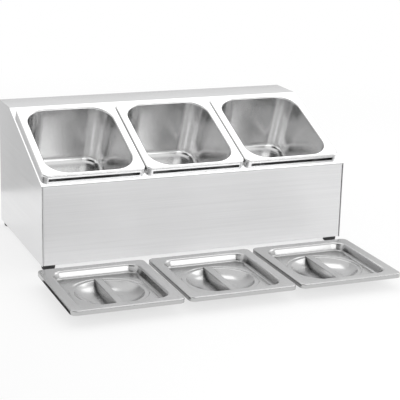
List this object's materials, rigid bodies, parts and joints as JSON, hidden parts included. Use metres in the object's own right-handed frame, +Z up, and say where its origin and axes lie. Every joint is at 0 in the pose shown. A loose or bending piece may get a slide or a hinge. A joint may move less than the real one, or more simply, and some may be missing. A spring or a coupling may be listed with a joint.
{
  "type": "gastronorm pan holder",
  "caption": "Free-standing sheet steel counter holder with a sloped deck that carries loose food pans side by side, with loose pressed lids beside it.",
  "frame": {"origin": "on the table, under the middle of the box round the holder and the row of lids", "axes": "+X to the right along the row of pans, +Y to the rear, +Z up"},
  "size_m": [0.5196, 0.4866, 0.2106],
  "materials": {
    "holder_steel": "fine brushed stainless steel",
    "pan_steel": "bright pressed stainless steel",
    "lid_steel": "polished pressed stainless steel",
    "foot_rubber": "matt black rubber",
    "fastener_steel": "plain stainless steel fasteners"
  },
  "bodies": {
    "holder": {"front_panel": "holder_steel", "left_side_panel": "holder_steel", "right_side_panel": "holder_steel", "back_panel": "holder_steel", "top_deck": "holder_steel", "left_cross_bar": "holder_steel", "right_cross_bar": "holder_steel", "front_left_foot": "foot_rubber", "front_right_foot": "foot_rubber", "rear_left_foot": "foot_rubber", "rear_right_foot": "foot_rubber", "foot_screws": "fastener_steel", "foot_washers": "fastener_steel", "foot_nuts": "fastener_steel"},
    "left_pan": {"left_pan": "pan_steel"},
    "middle_pan": {"middle_pan": "pan_steel"},
    "right_pan": {"right_pan": "pan_steel"},
    "left_lid": {"left_lid": "lid_steel"},
    "middle_lid": {"middle_lid": "lid_steel"},
    "right_lid": {"right_lid": "lid_steel"}
  },
  "joints": [
    {"name": "left_pan_lift", "type": "slide", "parent": "holder", "child": "left_pan", "axis": [0, -0.3859, 0.9225], "range_m": [0, 0.12]},
    {"name": "middle_pan_lift", "type": "slide", "parent": "holder", "child": "middle_pan", "axis": [0, -0.3859, 0.9225], "range_m": [0, 0.12]},
    {"name": "right_pan_lift", "type": "slide", "parent": "holder", "child": "right_pan", "axis": [0, -0.3859, 0.9225], "range_m": [0, 0.12]},
    {"name": "left_lid_lift", "type": "slide", "parent": "holder", "child": "left_lid", "axis": [0, 0, 1], "range_m": [0, 0.15]},
    {"name": "middle_lid_lift", "type": "slide", "parent": "holder", "child": "middle_lid", "axis": [0, 0, 1], "range_m": [0, 0.15]},
    {"name": "right_lid_lift", "type": "slide", "parent": "holder", "child": "right_lid", "axis": [0, 0, 1], "range_m": [0, 0.15]}
  ]
}
